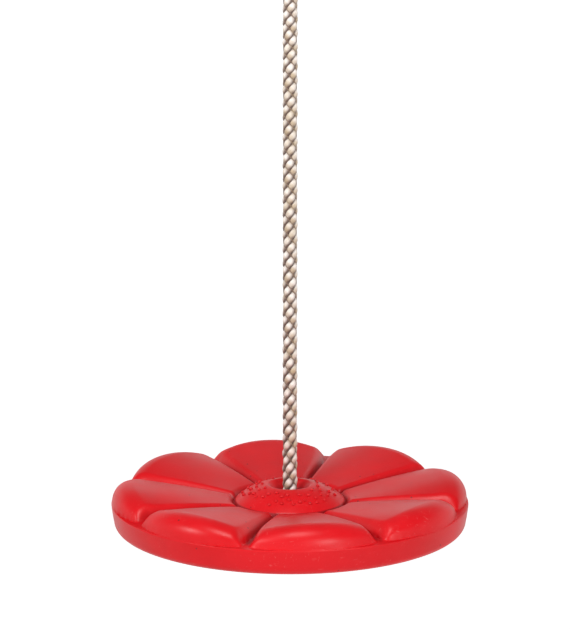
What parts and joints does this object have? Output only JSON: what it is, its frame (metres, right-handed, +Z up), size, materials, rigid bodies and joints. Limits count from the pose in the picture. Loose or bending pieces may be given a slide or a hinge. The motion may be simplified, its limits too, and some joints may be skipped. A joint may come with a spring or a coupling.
{
  "type": "disc swing",
  "caption": "Flower-shaped plastic disc seat on one braided rope, knotted under a washer, with a length adjuster, thimble, ring and snap hook above.",
  "frame": {"origin": "inside of the snap hook's top bow, where the hook bears on whatever carries the swing", "axes": "+Z up along the hanging rope, X across the hook from its spine to its gate, Y along the hook's pivot bars"},
  "size_m": [0.29, 0.29, 0.742],
  "materials": {
    "seat_plastic": "satin",
    "plug_plastic": "matt",
    "braid": "braided",
    "sleeve": "matt",
    "zinc_steel": "zinc plated",
    "thimble_steel": "zinc plated",
    "spring_steel": "bright",
    "adjuster_plastic": "textured"
  },
  "bodies": {
    "snap_hook": {"hook_body": "zinc_steel", "gate_rivet": "zinc_steel"},
    "gate": {"gate": "zinc_steel", "gate_plunger": "zinc_steel", "gate_spring": "spring_steel"},
    "ring": {"steel_ring": "zinc_steel"},
    "rope": {"rope": "braid", "rope_thimble": "thimble_steel", "tail_knot": "braid", "tail_end": "braid", "tail_whipping": "sleeve", "stopper_knot": "braid", "stopper_end": "braid", "stopper_whipping": "sleeve"},
    "adjuster": {"length_adjuster": "adjuster_plastic"},
    "washer": {"seat_washer": "zinc_steel"},
    "seat": {"seat_shell": "seat_plastic", "vent_plug": "plug_plastic"}
  },
  "joints": [
    {"name": "gate_hinge", "type": "hinge", "parent": "snap_hook", "child": "gate", "pos_m": [0.013, 0, -0.051], "axis": [0, -1, 0], "range_deg": [0, 25], "stiffness_Nm_per_rad": 0.05, "springref_deg": -20.05},
    {"name": "ring_swing", "type": "hinge", "parent": "snap_hook", "child": "ring", "pos_m": [0, 0, -0.072], "axis": [1, 0, 0], "range_deg": [-50, 50]},
    {"name": "rope_swing", "type": "hinge", "parent": "ring", "child": "rope", "pos_m": [0, 0, -0.1117], "axis": [0, 1, 0], "range_deg": [-50, 50]},
    {"name": "adjuster_slide", "type": "slide", "parent": "rope", "child": "adjuster", "axis": [0, 0, 1], "range_m": [0, 0.016]},
    {"name": "seat_tilt", "type": "hinge", "parent": "rope", "child": "washer", "pos_m": [0, 0, -0.70602], "axis": [0, 1, 0], "range_deg": [-6, 6]},
    {"name": "seat_spin", "type": "hinge", "parent": "washer", "child": "seat", "pos_m": [0, 0, -0.71], "axis": [0, 0, 1], "continuous": true}
  ]
}
